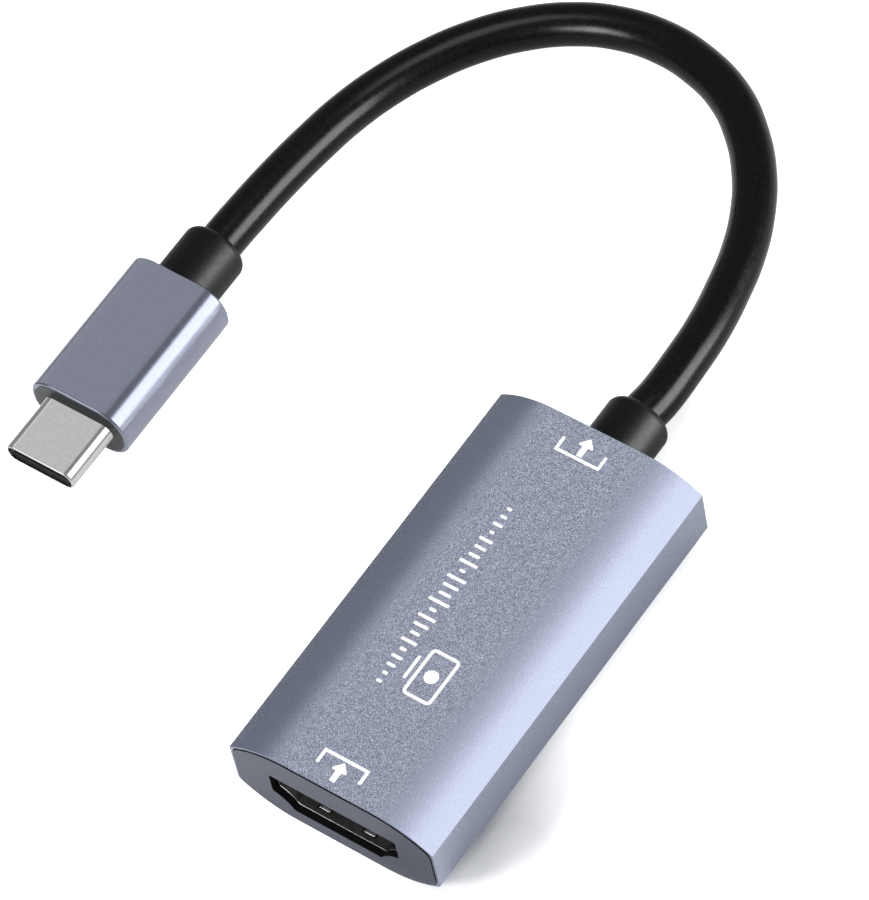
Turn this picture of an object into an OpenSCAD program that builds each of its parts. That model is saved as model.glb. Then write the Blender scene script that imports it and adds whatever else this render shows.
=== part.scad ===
// Video capture box: a crowned aluminium tube with a video socket in its front plate,
// and a short captive cable that ends in a flat reversible plug.
// +X is across the box, +Y runs from the socket to the cable, +Z is up.
// The origin is on the table, under the middle of the box.

/* [Body] */
// Width across the flat sides
body_w = 23.5; // [22.5:0.1:28]
// Length of the aluminium tube
body_l = 45.9; // [44:0.1:60]
// Thickness over the flat strips
body_t = 10.6; // [10.4:0.1:13]
// Height of the flat sides
side_h = 5.7; // [4.8:0.1:6.4]
// Width of the flat strip along the top and the bottom
flat_w = 10; // [9:0.5:12]
// Wall of the tube
wall = 0.9; // [0.7:0.05:1]
// Wall left round the end plates
rim_t = 0.25; // [0.25:0.05:0.5]
// Bevel round both ends of the tube
end_bevel = 0.1; // [0.05:0.05:0.2]
// Height of each rib beside the board's grooves
rail_t = 0.6; // [0.4:0.1:0.8]
// How far the board reaches into its grooves
groove_depth = 0.9; // [0.6:0.1:1.2]

/* [End plates] */
// Thickness of the end plates
plate_t = 1.25; // [0.9:0.05:1.4]
// How far the plates stand out of the ends of the tube
plate_proud = 0.1; // [0:0.05:0.2]
// How far the socket and the cable lie below the middle of the body
axis_drop = 0.8; // [0.5:0.1:0.8]

/* [Clearances] */
// Gap round pieces that are pressed or moulded in
fit_gap = 0.05; // [0.03:0.01:0.08]
// Gap round the main board in its grooves and slots
board_gap = 0.1; // [0.05:0.05:0.15]
// Gap round the spring fingers in their windows
spring_gap = 0.1; // [0.05:0.05:0.15]
// Gap between the main board and the front plate
board_back = 0.3; // [0.2:0.1:0.6]

/* [Video socket] */
// Inside width of the socket
socket_w = 14; // [13.8:0.1:14.2]
// Inside height of the socket
socket_h = 4.55; // [4.4:0.05:4.7]
// Length of the socket
socket_l = 11.3; // [10.5:0.1:13]
// Sheet thickness of the socket's shell
socket_sheet = 0.25; // [0.2:0.05:0.3]
// How far the socket's rim lies behind the face of the front plate
socket_recess = 0.75; // [0.6:0.05:0.85]
// Extra room of the front plate's cut-out at each side of the socket
mouth_side = 0.25; // [0.1:0.05:0.25]
// How far each lower flank runs in
flank_in = 2; // [1.6:0.1:2.4]
// How high each lower flank starts above the socket's floor
flank_up = 1.75; // [1.5:0.05:2]
// Radius of the hollow in each lower flank
flank_r = 4; // [3:0.5:6]
// Width of the contact tongue
tongue_w = 11.2; // [10.8:0.1:11.6]
// Thickness of the contact tongue
tongue_t = 1.2; // [1:0.1:1.4]
// How far the tongue's tip lies behind the socket's rim
tongue_back = 1.5; // [1:0.1:1.6]
// How far the tongue lies above the middle of the socket
tongue_rise = 0.1; // [0:0.1:0.2]
// Length of the block that holds the contacts
block_l = 3.5; // [3:0.1:4]
// Width of a contact strip
contact_w = 0.3; // [0.25:0.05:0.35]
// Thickness of a contact strip
contact_t = 0.12; // [0.1:0.02:0.16]
// Length of a soldering leg along the socket
leg_l = 1.2; // [0.8:0.1:1.6]
// How far the legs stand out below the board
leg_out = 0.3; // [0.2:0.1:0.4]

/* [Socket springs] */
// Distance of a spring finger from the middle
spring_x = 2.6; // [2.2:0.1:3.2]
// Width of a spring finger
spring_w = 1.3; // [1:0.1:1.6]
// Length of a spring finger
spring_l = 4.8; // [4:0.1:5]
// Thickness of a spring finger
spring_t = 0.2; // [0.15:0.05:0.2]
// How far a finger's bump stands into the socket
spring_dip = 0.35; // [0.2:0.05:0.45]

/* [Main board] */
// Length of the main board
board_l = 36; // [34:0.5:37]
// Thickness of the main board
board_t = 1; // [0.8:0.1:1.2]
// Distance of the board's top below the middle of the socket
board_sink = 1.6; // [1.5:0.05:1.7]
// Side of the capture chip
chip_w = 9; // [7:0.5:10]
// Thickness of the capture chip
chip_t = 0.85; // [0.7:0.05:1]
// Length of the memory chip
memory_l = 4.9; // [4.5:0.1:5.3]
// Width of the memory chip's body
memory_w = 3.9; // [3.5:0.1:4.3]
// Thickness of the memory chip
memory_t = 1.5; // [1.2:0.1:1.7]
// Side of the power inductor
inductor_w = 4; // [3:0.2:4.4]
// Height of the power inductor
inductor_t = 1.8; // [1.2:0.1:2.4]
// Length of the crystal's can
crystal_l = 3.2; // [2.5:0.1:3.6]
// Width of the crystal's can
crystal_w = 2.5; // [2:0.1:2.8]
// Height of the crystal's can
crystal_t = 0.8; // [0.6:0.1:1]
// Length of the regulator's body
regulator_l = 2.9; // [2.6:0.1:3.2]
// Width of the regulator's body
regulator_w = 1.6; // [1.4:0.1:1.8]
// Height of the regulator
regulator_t = 1.1; // [0.9:0.1:1.3]
// Length of a small capacitor
capacitor_l = 1.6; // [1:0.1:2]
// Length of a small resistor
resistor_l = 1; // [0.6:0.1:1.6]

/* [Cable] */
// Diameter of the cable
cable_d = 4.6; // [4:0.1:4.8]
// Diameter of one core of the cable
core_d = 0.8; // [0.6:0.1:0.9]
// Diameter of both strain reliefs
relief_d = 6.9; // [6.8:0.1:7]
// Length of the box's strain relief
box_relief_l = 6.45; // [4:0.05:7]
// Length of the plug's strain relief
plug_relief_l = 6.4; // [4:0.1:7]
// Rounding of a strain relief's end
relief_round = 1; // [0.5:0.1:1]
// Diameter of the relief's neck in the rear plate
neck_d = 5.9; // [5.6:0.1:6.2]
// Diameter of the relief's flange behind the rear plate
flange_d = 7; // [6.6:0.1:7]
// Thickness of that flange
flange_t = 1.2; // [0.8:0.1:1.6]
// How far the cable's jacket runs on past a flange
jacket_in = 2; // [1.5:0.1:2.5]

/* [Plug] */
// Width of the plug's aluminium housing
housing_w = 11.7; // [11.6:0.1:13]
// Thickness of the housing
housing_t = 7; // [7:0.1:8]
// Length of the housing
housing_l = 17.5; // [16.8:0.1:22]
// Corner radius of the housing
housing_r = 3.2; // [2:0.1:3.4]
// Rounding of the housing's ends
housing_edge = 0.25; // [0.1:0.05:0.35]
// Wall of the housing
housing_wall = 0.4; // [0.4:0.05:0.7]
// Width of the steel shell
plug_w = 8.25; // [8.2:0.01:8.34]
// Thickness of the steel shell
plug_t = 2.4; // [2.35:0.01:2.45]
// Length of the steel shell outside the housing
plug_l = 6.65; // [6.4:0.05:7]
// Corner radius of the steel shell
plug_r = 1.1; // [0.9:0.05:1.15]
// Sheet thickness of the steel shell
plug_sheet = 0.25; // [0.2:0.01:0.3]
// Rounding of the steel shell's rim
plug_edge = 0.2; // [0.1:0.02:0.2]
// How far the steel shell runs into the housing
plug_in = 3.5; // [3:0.1:4.5]
// How far the insulator lies behind the steel rim
mouth_back = 0.4; // [0.2:0.05:0.6]
// Width of the slot that takes the other half's tongue
slot_w = 6.9; // [6.7:0.05:6.95]
// Height of that slot
slot_h = 0.9; // [0.8:0.05:0.95]
// Distance of the slot's end from the housing
slot_end = 1; // [0.8:0.1:1.4]
// Width of a contact beam
beam_w = 0.22; // [0.18:0.02:0.26]
// Thickness of a contact beam
beam_t = 0.1; // [0.08:0.01:0.12]
// Thickness of a side latch
latch_t = 0.15; // [0.1:0.01:0.18]
// Height of a side latch
latch_h = 0.7; // [0.5:0.1:0.75]
// How far a latch's bump stands into the slot
latch_dip = 0.25; // [0.15:0.05:0.3]
// Width of the small board in the plug
paddle_w = 7; // [6.6:0.1:7.6]
// Length of the small board in the plug
paddle_l = 6; // [5.5:0.1:6.4]
// Thickness of the small board in the plug
paddle_t = 0.8; // [0.7:0.05:0.9]
// Length of the plastic core in the housing
core_l = 12; // [11.5:0.1:12.5]

/* [Hidden] */
$fn = 96;

// How far a cut runs past the face that it opens
over = 1;

// Cross-section of the body
body_mid = body_t / 2;
shoulder_run = (body_w - flat_w) / 2;
shoulder_drop = (body_t - side_h) / 2;
shoulder_r = (shoulder_run * shoulder_run + shoulder_drop * shoulder_drop) / (2 * shoulder_drop);
shoulder_z = body_mid - shoulder_r;

// Half the inside width of the tube, at a height below the middle
function inner_half(below) =
    let (reach = below - shoulder_z)
    min(body_w / 2 - wall, flat_w / 2 + sqrt(pow(shoulder_r - wall, 2) - reach * reach));

// Places along the box
front_end = -body_l / 2;
rear_end = body_l / 2;
seat_depth = plate_t - plate_proud;
plate_face = front_end - plate_proud;
plate_back = front_end + seat_depth;
rear_face = rear_end + plate_proud;
rear_inside = rear_end - seat_depth;
axis_z = body_mid - axis_drop;

// Video socket
socket_front = plate_face + socket_recess;
socket_rear = socket_front + socket_l;
block_front = socket_rear - block_l;
flank_top = [socket_w / 2, flank_up - socket_h / 2];
flank_foot = [socket_w / 2 - flank_in, -socket_h / 2];
flank_chord = norm(flank_top - flank_foot);
flank_reach = sqrt(flank_r * flank_r - flank_chord * flank_chord / 4);
flank_centre = (flank_top + flank_foot) / 2 + flank_reach / flank_chord * [flank_up, -flank_in];
tongue_z = axis_z + tongue_rise;
contact_pitch = 1;
upper_contacts = 10;
lower_contacts = 9;
contact_back = 0.3;
tail_back = 0.3;
foot_l = 0.9;
tail_end = socket_rear + tail_back + foot_l;
leg_from_end = 2.2;
leg_places = [socket_front + leg_from_end, socket_rear - leg_from_end];

// Spring fingers: each turns about the round at its root
window_front = plate_back + spring_gap;
spring_tip = window_front + spring_gap;
spring_root = spring_tip + spring_l;
spring_root_r = socket_sheet / 2;
window_rear = spring_root + spring_root_r + spring_gap;
spring_wall_z = (socket_h + socket_sheet) / 2;
bump_from_tip = 1.5;
spring_bump = spring_l - bump_from_tip;
spring_depth = socket_sheet / 2 + spring_dip - spring_t / 2;

// Main board
board_top = axis_z - board_sink;
board_bottom = board_top - board_t;
board_front = plate_back + board_back;
board_rear = board_front + board_l;
groove_web = 0.1;
board_w = 2 * (inner_half(body_mid - board_bottom + board_gap) - groove_web - board_gap);
notch_rear = socket_rear + tail_back / 2;
notch_w = socket_w - flank_in;
pad_in = 1.5;
pad_y = board_rear - pad_in;
lead_reach = 1;
lead_pitch = 1.27;
regulator_pitch = 0.95;
chip_dot_d = 0.8;
chip_dot_in = 1;
crystal_lid_in = 0.15;
dot_cut = 0.2;
lane_gap = 0.3;
row_gap = 0.1;
pad_room = 1.4;
memory_reach = memory_w / 2 + lead_reach;
side_lane = board_w / 2 - groove_depth - lane_gap - memory_l / 2;
front_row = tail_end + 1.5 * resistor_l + row_gap + memory_reach;
rear_row = pad_y - pad_room - inductor_w / 2;
chip_y = (front_row + memory_reach + rear_row - inductor_w / 2) / 2;
memory_place = [-side_lane, front_row];
crystal_place = [side_lane, front_row];
inductor_place = [-side_lane, rear_row];
regulator_place = [side_lane, rear_row];
capacitor_w = capacitor_l / 2;
capacitor_x = 6.6;
capacitor_step = 2.4;
capacitor_places = [
    for (k = [-1.5:1.5], side = [-1, 1]) [side * capacitor_x, chip_y + k * capacitor_step]
];
resistor_w = resistor_l / 2;
resistor_t = 0.35;
resistor_step = 1.25;
resistor_places = [for (k = [-2:2]) [k * resistor_step, tail_end + resistor_l]];

// Cable: it leaves the box level, sags to the table and rises to the plug
jacket_front = rear_inside - flange_t - jacket_in;
cable_exit = rear_face + box_relief_l;
core_ring = 1.25;
pad_pitch = 1.3;
pad_order = [5, 4, 1, 0, 2, 3];
cores = len(pad_order);
core_turn = 360 / cores;
plug_z = housing_t / 2;
cable_lie = cable_d / 2;
// Across and along from the exit, and how much of the end's height the cable still has
route_marks = [
    [0, 0, 1], [0.2, 2.5, 0.95], [0, 7.3, 0.77], [-0.5, 12.3, 0.54],
    [-1.5, 17.3, 0.3], [-2.8, 22.1, 0.12], [-4.7, 26.7, 0.02], [-7.3, 31, 0],
    [-10.6, 34.7, 0], [-14.6, 37.7, 0], [-19.4, 39.5, 0], [-24.3, 40.1, 0],
    [-29.2, 39.4, 0], [-33.7, 37.5, 0], [-37.8, 34.5, 0], [-41.2, 30.8, 0],
    [-44, 26.4, 0], [-46.1, 21.7, 0.02], [-47.5, 16.8, 0.12], [-48.2, 11.8, 0.36],
    [-48.6, 6.7, 0.65], [-48.8, 1.5, 0.89], [-48.9, -3.7, 1]
];
route_last = len(route_marks) - 1;
function route_point(i) =
    let (mark = route_marks[i])
    let (end_z = i < route_last / 2 ? axis_z : plug_z)
    [mark.x, cable_exit + mark.y, cable_lie + mark.z * (end_z - cable_lie)];
cable_route = [for (i = [0:route_last]) route_point(i)];
cable_sides = 12;

// Plug: it lies beside the box, with its mouth the same way as the socket
plug_x = route_marks[route_last].x;
plug_relief_end = cable_exit + route_marks[route_last].y;
housing_front = plug_relief_end - plug_relief_l - housing_l;
plug_flange_t = 2;
plug_jacket_front = housing_l - plug_flange_t - jacket_in;
beam_pitch = 0.5;
beam_count = 12;
beam_slot_w = 0.3;
beam_slot_z = 0.8;
beam_cover = 0.5;
beam_front = mouth_back + beam_cover - plug_l;
beam_bump_back = 2;
beam_bump = beam_bump_back - plug_l;
beam_tip_back = 1.3;
beam_tip = beam_tip_back - plug_l;
beam_rise = 0.1;
tail_l = 1.5;
paddle_gap = 0.2;
paddle_front = plug_in + paddle_gap;
paddle_pad_in = 1.2;
paddle_pitch = 1.6;
paddle_part_x = 1.7;
paddle_part_back = 0.6;
room_h = 3;
room_side = 0.5;
room_spare = 0.8;
room_end = paddle_front + paddle_l + room_spare;
latch_root_r = 0.1;
latch_room = 0.28;
latch_root = [plug_w / 2 - plug_sheet - latch_room, latch_root_r - slot_end];
latch_bump_back = 2.4;
latch_bump = [slot_w / 2 - latch_dip + latch_t / 2, latch_bump_back - plug_l];
latch_tip = [slot_w / 2 + fit_gap, beam_tip];
latch_slot_h = latch_h + 2 * fit_gap;

// An outline standing in the XZ plane, drawn out along +Y
module prism_y(from, length, z = 0) {
    translate([0, from + length, z])
        rotate([90, 0, 0])
            linear_extrude(length) children();
}

// A side view in the YZ plane, drawn out to both sides along X
module plate_x(width) {
    rotate([90, 0, 90])
        linear_extrude(width, center = true) children();
}

// A half profile of radius and length, turned about +Y
module turned_y() {
    rotate([-90, 0, 0])
        rotate_extrude() children();
}

// A round rod between two points, run on by its own diameter at both ends
module rod(from, to, d) {
    way = to - from;
    translate(from)
        rotate([0, acos(way.z / norm(way)), atan2(way.y, way.x)])
            translate([0, 0, -d])
                cylinder(d = d, h = norm(way) + 2 * d, $fn = 32);
}

// A rectangle with round corners
module round_rect(w, t, r) {
    square([w - 2 * r, t], center = true);
    square([w, t - 2 * r], center = true);
    for (x = [-1, 1], y = [-1, 1])
        translate([x * (w / 2 - r), y * (t / 2 - r)]) circle(r);
}

// Half profile of a round post with softened ends, as radius against length
module post_profile(r, length, edge) {
    translate([0, edge]) square([r, length - 2 * edge]);
    square([r - edge, length]);
    for (end = [edge, length - edge])
        translate([r - edge, end]) circle(edge, $fn = 32);
}

// A block along +Y with a round-cornered outline and softened ends
module soft_block(w, t, r, from, length, edge) {
    middle = from + length / 2;
    plate_x(w - 2 * r)
        translate([middle, 0]) round_rect(length, t, edge);
    translate([0, middle, 0])
        linear_extrude(t - 2 * r, center = true) round_rect(w, length, edge);
    for (x = [-1, 1], z = [-1, 1])
        translate([x * (w / 2 - r), from, z * (t / 2 - r)])
            turned_y() post_profile(r, length, edge);
}

// A box that stands on the main board, given by the middle of its foot
module on_board(place, size) {
    translate([place.x - size.x / 2, place.y - size.y / 2, board_top]) cube(size);
}

// Cross-section of the body, drawn in by an even amount
module body_outline(inset) {
    square([flat_w, body_t - 2 * inset], center = true);
    for (side = [0, 1])
        mirror([side, 0])
            intersection() {
                translate([flat_w / 2, shoulder_z]) circle(shoulder_r - inset);
                translate([flat_w / 2, -shoulder_z]) circle(shoulder_r - inset);
                translate([0, -body_t / 2]) square([body_w / 2 - inset, body_t]);
            }
}

// The body as a full bar, with both ends bevelled
module body_bar() {
    half = [body_l / 2, body_t / 2];
    cut = end_bevel;
    translate([0, 0, body_mid]) {
        plate_x(flat_w)
            polygon([
                [-half.x, cut - half.y], [cut - half.x, -half.y],
                [half.x - cut, -half.y], [half.x, cut - half.y],
                [half.x, half.y - cut], [half.x - cut, half.y],
                [cut - half.x, half.y], [-half.x, half.y - cut]
            ]);
        for (side = [0, 1])
            mirror([side, 0, 0])
                intersection() {
                    shoulder_bar(shoulder_z);
                    shoulder_bar(-shoulder_z);
                    linear_extrude(body_t, center = true)
                        polygon([
                            [flat_w / 2, front_end], [body_w / 2 - cut, front_end],
                            [body_w / 2, front_end + cut], [body_w / 2, rear_end - cut],
                            [body_w / 2 - cut, rear_end], [flat_w / 2, rear_end]
                        ]);
                }
    }
}

// The round bar that a shoulder is part of, with both ends bevelled
module shoulder_bar(z) {
    small = shoulder_r - end_bevel;
    translate([flat_w / 2, front_end, z])
        turned_y()
            polygon([
                [0, 0], [small, 0], [shoulder_r, end_bevel],
                [shoulder_r, body_l - end_bevel], [small, body_l], [0, body_l]
            ]);
}

// Ribs along the inside of the tube, with the grooves that hold the board
module board_rails() {
    low = board_bottom - board_gap - body_mid;
    high = board_top + board_gap - body_mid;
    for (side = [0, 1])
        mirror([side, 0])
            difference() {
                translate([board_w / 2 - groove_depth, low - rail_t])
                    square([body_w / 2, high - low + 2 * rail_t]);
                translate([0, low])
                    square([board_w / 2 + board_gap, high - low]);
            }
}

// Opening of the video socket: upright sides over two hollow flanks
module socket_outline(grow, widen = 0) {
    difference() {
        square([socket_w + 2 * (grow + widen), socket_h + 2 * grow], center = true);
        for (side = [-1, 1])
            translate([side * flank_centre.x, flank_centre.y]) circle(flank_r - grow);
    }
}

module shell() {
    color([0.43, 0.46, 0.56])
        difference() {
            body_bar();
            prism_y(front_end - over, body_l + 2 * over, body_mid)
                difference() {
                    body_outline(wall);
                    board_rails();
                }
            prism_y(front_end - over, seat_depth + over, body_mid) body_outline(rim_t);
            prism_y(rear_inside, seat_depth + over, body_mid) body_outline(rim_t);
        }
}

// The plate's cut-out shows the inside of the socket, whose rim stands in a rebate behind it
module front_plate() {
    rebate = socket_front - fit_gap;
    color([0.36, 0.37, 0.41])
        difference() {
            prism_y(plate_face, plate_t, body_mid) body_outline(rim_t + fit_gap);
            prism_y(plate_face - over, plate_t + 2 * over, axis_z) socket_outline(fit_gap, mouth_side);
            prism_y(rebate, plate_back + over - rebate, axis_z) socket_outline(socket_sheet + fit_gap);
        }
}

module rear_plate() {
    color([0.36, 0.37, 0.41])
        prism_y(rear_inside, plate_t, body_mid)
            difference() {
                body_outline(rim_t + fit_gap);
                translate([0, -axis_drop]) circle(d = neck_d + 2 * fit_gap);
            }
}

module main_board() {
    slot = [socket_sheet + 2 * board_gap, leg_l + 2 * board_gap, board_t + 2 * over];
    color([0.05, 0.2, 0.12])
        difference() {
            translate([-board_w / 2, board_front, board_bottom]) cube([board_w, board_l, board_t]);
            translate([-notch_w / 2, board_front - over, board_bottom - over])
                cube([notch_w, notch_rear - board_front + over, board_t + 2 * over]);
            for (side = [0, 1], y = leg_places)
                mirror([side, 0, 0])
                    translate([socket_w / 2 - board_gap, y - slot.y / 2, board_bottom - over]) cube(slot);
        }
}

// Windows of the four spring fingers, as cutting blocks
module spring_windows() {
    size = [spring_w + 2 * spring_gap, window_rear - window_front, 2 * socket_sheet];
    for (x = [-spring_x, spring_x], side = [-1, 1])
        translate([x, (window_front + window_rear) / 2, axis_z + side * spring_wall_z])
            cube(size, center = true);
}

module socket_shell() {
    leg = [socket_sheet, leg_l, axis_z - board_bottom + leg_out];
    color([0.75, 0.75, 0.76])
        difference() {
            union() {
                prism_y(socket_front, socket_l, axis_z)
                    difference() {
                        socket_outline(socket_sheet);
                        socket_outline(0);
                    }
                for (side = [0, 1], y = leg_places)
                    mirror([side, 0, 0])
                        translate([socket_w / 2, y - leg_l / 2, axis_z - leg.z]) cube(leg);
            }
            spring_windows();
        }
}

// One finger: it runs forward from its root, dips into the socket and comes back
module socket_spring(x, upper) {
    half = spring_t / 2;
    color([0.82, 0.82, 0.82])
        translate([x, spring_root, axis_z + (upper ? 1 : -1) * spring_wall_z])
            mirror([0, 0, upper ? 0 : 1])
                plate_x(spring_w) {
                    polygon([
                        [0, half], [-spring_bump, half - spring_depth], [-spring_l, half],
                        [-spring_l, -half], [-spring_bump, -half - spring_depth], [0, -half]
                    ]);
                    circle(spring_root_r, $fn = 32);
                }
}

module socket_spring_upper_left() { socket_spring(-spring_x, true); }
module socket_spring_upper_right() { socket_spring(spring_x, true); }
module socket_spring_lower_left() { socket_spring(-spring_x, false); }
module socket_spring_lower_right() { socket_spring(spring_x, false); }

// Places of the contact strips in a row, across the socket
function row_places(count) = [for (i = [0:count - 1]) (i - (count - 1) / 2) * contact_pitch];

module socket_insulator() {
    channel = [contact_w + 2 * fit_gap, block_l + 2 * over, contact_t + fit_gap];
    color([0.04, 0.04, 0.045])
        difference() {
            union() {
                prism_y(block_front, block_l, axis_z) socket_outline(-fit_gap);
                translate([-tongue_w / 2, socket_front + tongue_back, tongue_z - tongue_t / 2])
                    cube([tongue_w, block_front + over - socket_front - tongue_back, tongue_t]);
            }
            for (x = row_places(upper_contacts))
                translate([x - channel.x / 2, block_front - over, tongue_z + tongue_t / 2]) cube(channel);
            for (x = row_places(lower_contacts))
                translate([x - channel.x / 2, block_front - over, tongue_z - tongue_t / 2 - channel.z])
                    cube(channel);
        }
}

// A strip on one face of the tongue, with a tail that turns down to the board
module contact_strip(low) {
    tip = socket_front + tongue_back + contact_back;
    drop = socket_rear + tail_back;
    plate_x(contact_w)
        polygon([
            [tip, low], [tip, low + contact_t],
            [drop + contact_t, low + contact_t], [drop + contact_t, board_top + contact_t],
            [drop + foot_l, board_top + contact_t], [drop + foot_l, board_top],
            [drop, board_top], [drop, low]
        ]);
}

module socket_contacts() {
    color([0.83, 0.68, 0.35]) {
        for (x = row_places(upper_contacts))
            translate([x, 0, 0]) contact_strip(tongue_z + tongue_t / 2);
        for (x = row_places(lower_contacts))
            translate([x, 0, 0]) contact_strip(tongue_z - tongue_t / 2 - contact_t);
    }
}

module capture_chip() {
    corner = chip_dot_in - chip_w / 2;
    color([0.06, 0.06, 0.065])
        difference() {
            on_board([0, chip_y], [chip_w, chip_w, chip_t]);
            translate([corner, chip_y + corner, board_top + chip_t])
                cylinder(d = chip_dot_d, h = dot_cut, center = true, $fn = 32);
        }
}

module memory_chip() {
    lead = [0.4, memory_w + 2 * lead_reach, 0.2];
    color([0.06, 0.06, 0.065]) {
        on_board(memory_place, [memory_l, memory_w, memory_t]);
        for (i = [-1.5:1.5])
            on_board(memory_place + [i * lead_pitch, 0], lead);
    }
}

module regulator() {
    lead = [0.35, regulator_w + 2 * lead_reach, 0.15];
    color([0.06, 0.06, 0.065]) {
        on_board(regulator_place, [regulator_l, regulator_w, regulator_t]);
        for (i = [-1, 1])
            on_board(regulator_place + [i * regulator_pitch, 0], lead);
    }
}

module crystal() {
    color([0.75, 0.74, 0.7]) {
        on_board(crystal_place, [crystal_l, crystal_w, crystal_t / 2]);
        on_board(crystal_place, [crystal_l - 2 * crystal_lid_in, crystal_w - 2 * crystal_lid_in, crystal_t]);
    }
}

module power_inductor() {
    color([0.2, 0.2, 0.21])
        difference() {
            on_board(inductor_place, [inductor_w, inductor_w, inductor_t]);
            translate([inductor_place.x, inductor_place.y, board_top + inductor_t])
                cylinder(d = inductor_w / 2, h = dot_cut, center = true, $fn = 48);
        }
}

module capacitors() {
    color([0.55, 0.42, 0.3])
        for (place = capacitor_places)
            on_board(place, [capacitor_w, capacitor_l, capacitor_w]);
}

module resistors() {
    color([0.1, 0.1, 0.1])
        for (place = resistor_places)
            on_board(place, [resistor_w, resistor_l, resistor_t]);
}

// Half profile of a strain relief's sleeve, with its round end
module sleeve_profile(length) {
    bore = cable_d / 2 + fit_gap;
    outer = relief_d / 2;
    difference() {
        union() {
            square([outer, length - relief_round]);
            square([outer - relief_round, length]);
            translate([outer - relief_round, length - relief_round]) circle(relief_round);
        }
        translate([-outer, -over]) square([outer + bore, length + 2 * over]);
    }
}

module box_relief() {
    bore = cable_d / 2 + fit_gap;
    color([0.05, 0.05, 0.055])
        translate([0, rear_face, axis_z])
            turned_y() {
                sleeve_profile(box_relief_l);
                translate([bore, -plate_t]) square([neck_d / 2 - bore, plate_t]);
                translate([bore, -plate_t - flange_t]) square([flange_d / 2 - bore, flange_t]);
            }
}

module box_cable_end() {
    color([0.04, 0.04, 0.045])
        translate([0, jacket_front, axis_z])
            rotate([-90, 0, 0]) cylinder(d = cable_d, h = cable_exit - jacket_front);
}

// Cores that fan out from the jacket and come down on the board
module box_wires() {
    room = [body_w, jacket_front - pad_y + 3 * core_d, body_t];
    color([0.6, 0.1, 0.1])
        intersection() {
            for (i = [0:cores - 1])
                rod(
                    [core_ring * cos(core_turn * i), jacket_front, axis_z + core_ring * sin(core_turn * i)],
                    [(pad_order[i] - (cores - 1) / 2) * pad_pitch, pad_y, board_top], core_d
                );
            translate([-room.x / 2, jacket_front - room.y, board_top]) cube(room);
        }
}

function unit(v) = v / norm(v);
function way_at(path, i) =
    i == 0 ? [0, 1, 0] :
    i == len(path) - 1 ? [0, -1, 0] :
    unit(path[i + 1] - path[i - 1]);
function ring_at(path, i, d, sides) =
    let (way = way_at(path, i))
    let (side = unit(cross(way, [0, 0, 1])))
    let (up = cross(side, way))
    [for (k = [0:sides - 1]) path[i] + d / 2 * (cos(360 * k / sides) * side + sin(360 * k / sides) * up)];

// A closed tube along a path, one ring of points at each of the path's points
module tube(path, d, sides) {
    last = len(path) - 1;
    points = [for (i = [0:last]) each ring_at(path, i, d, sides)];
    walls = [
        for (i = [0:last - 1], k = [0:sides - 1])
            let (a = i * sides + k, b = i * sides + (k + 1) % sides)
            each [[a, b, b + sides], [a, b + sides, a + sides]]
    ];
    start = [for (k = [sides - 1:-1:0]) k];
    finish = [for (k = [0:sides - 1]) last * sides + k];
    polyhedron(points, concat([start], walls, [finish]));
}

module cable() {
    color([0.04, 0.04, 0.045]) tube(cable_route, cable_d, cable_sides);
}

// Puts a plug piece in place: the housing's front is at y = 0 on the plug's own axis
module at_plug() {
    translate([plug_x, housing_front, plug_z]) children();
}

module housing_outline(inset) {
    round_rect(housing_w - 2 * inset, housing_t - 2 * inset, housing_r - inset);
}

module plug_outline(inset) {
    round_rect(plug_w - 2 * inset, plug_t - 2 * inset, plug_r - inset);
}

module plug_relief() {
    color([0.05, 0.05, 0.055])
        at_plug()
            difference() {
                union() {
                    prism_y(housing_l - plug_flange_t, plug_flange_t)
                        housing_outline(housing_wall + fit_gap);
                    translate([0, housing_l, 0]) turned_y() sleeve_profile(plug_relief_l);
                }
                translate([0, housing_l - plug_flange_t - over, 0])
                    rotate([-90, 0, 0])
                        cylinder(d = cable_d + 2 * fit_gap, h = plug_flange_t + plug_relief_l + 2 * over);
            }
}

module plug_cable_end() {
    color([0.04, 0.04, 0.045])
        at_plug()
            translate([0, plug_jacket_front, 0])
                rotate([-90, 0, 0])
                    cylinder(d = cable_d, h = housing_l + plug_relief_l - plug_jacket_front);
}

// Three cores on each face of the small board
module plug_wires() {
    pad = paddle_front + paddle_l - paddle_pad_in;
    room = [housing_w, plug_jacket_front - pad + 3 * core_d, housing_t];
    color([0.6, 0.1, 0.1])
        at_plug()
            for (face = [0, 1])
                mirror([0, 0, face])
                    intersection() {
                        for (k = [-1:1])
                            let (turn = core_turn * k)
                                rod(
                                    [core_ring * sin(turn), plug_jacket_front, core_ring * cos(turn)],
                                    [k * paddle_pitch, pad, paddle_t / 2], core_d
                                );
                        translate([-room.x / 2, plug_jacket_front - room.y, paddle_t / 2]) cube(room);
                    }
}

module plug_housing() {
    color([0.43, 0.46, 0.56])
        at_plug()
            difference() {
                soft_block(housing_w, housing_t, housing_r, 0, housing_l, housing_edge);
                prism_y(-over, housing_l + 2 * over) housing_outline(housing_wall);
            }
}

module plug_core() {
    room = [paddle_w - 2 * room_side, room_end - plug_in + over, room_h];
    groove_l = paddle_front + paddle_l + fit_gap - plug_in + over;
    groove = [paddle_w + 2 * fit_gap, groove_l, paddle_t + 2 * fit_gap];
    color([0.05, 0.05, 0.055])
        at_plug()
            difference() {
                prism_y(0, core_l) housing_outline(housing_wall + fit_gap);
                prism_y(-over, plug_in + over) plug_outline(-fit_gap);
                translate([-room.x / 2, plug_in - over, -room.z / 2]) cube(room);
                translate([-groove.x / 2, plug_in - over, -groove.z / 2]) cube(groove);
                translate([0, room_end - over, 0])
                    rotate([-90, 0, 0]) cylinder(d = cable_d, h = core_l - room_end + 2 * over);
            }
}

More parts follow.
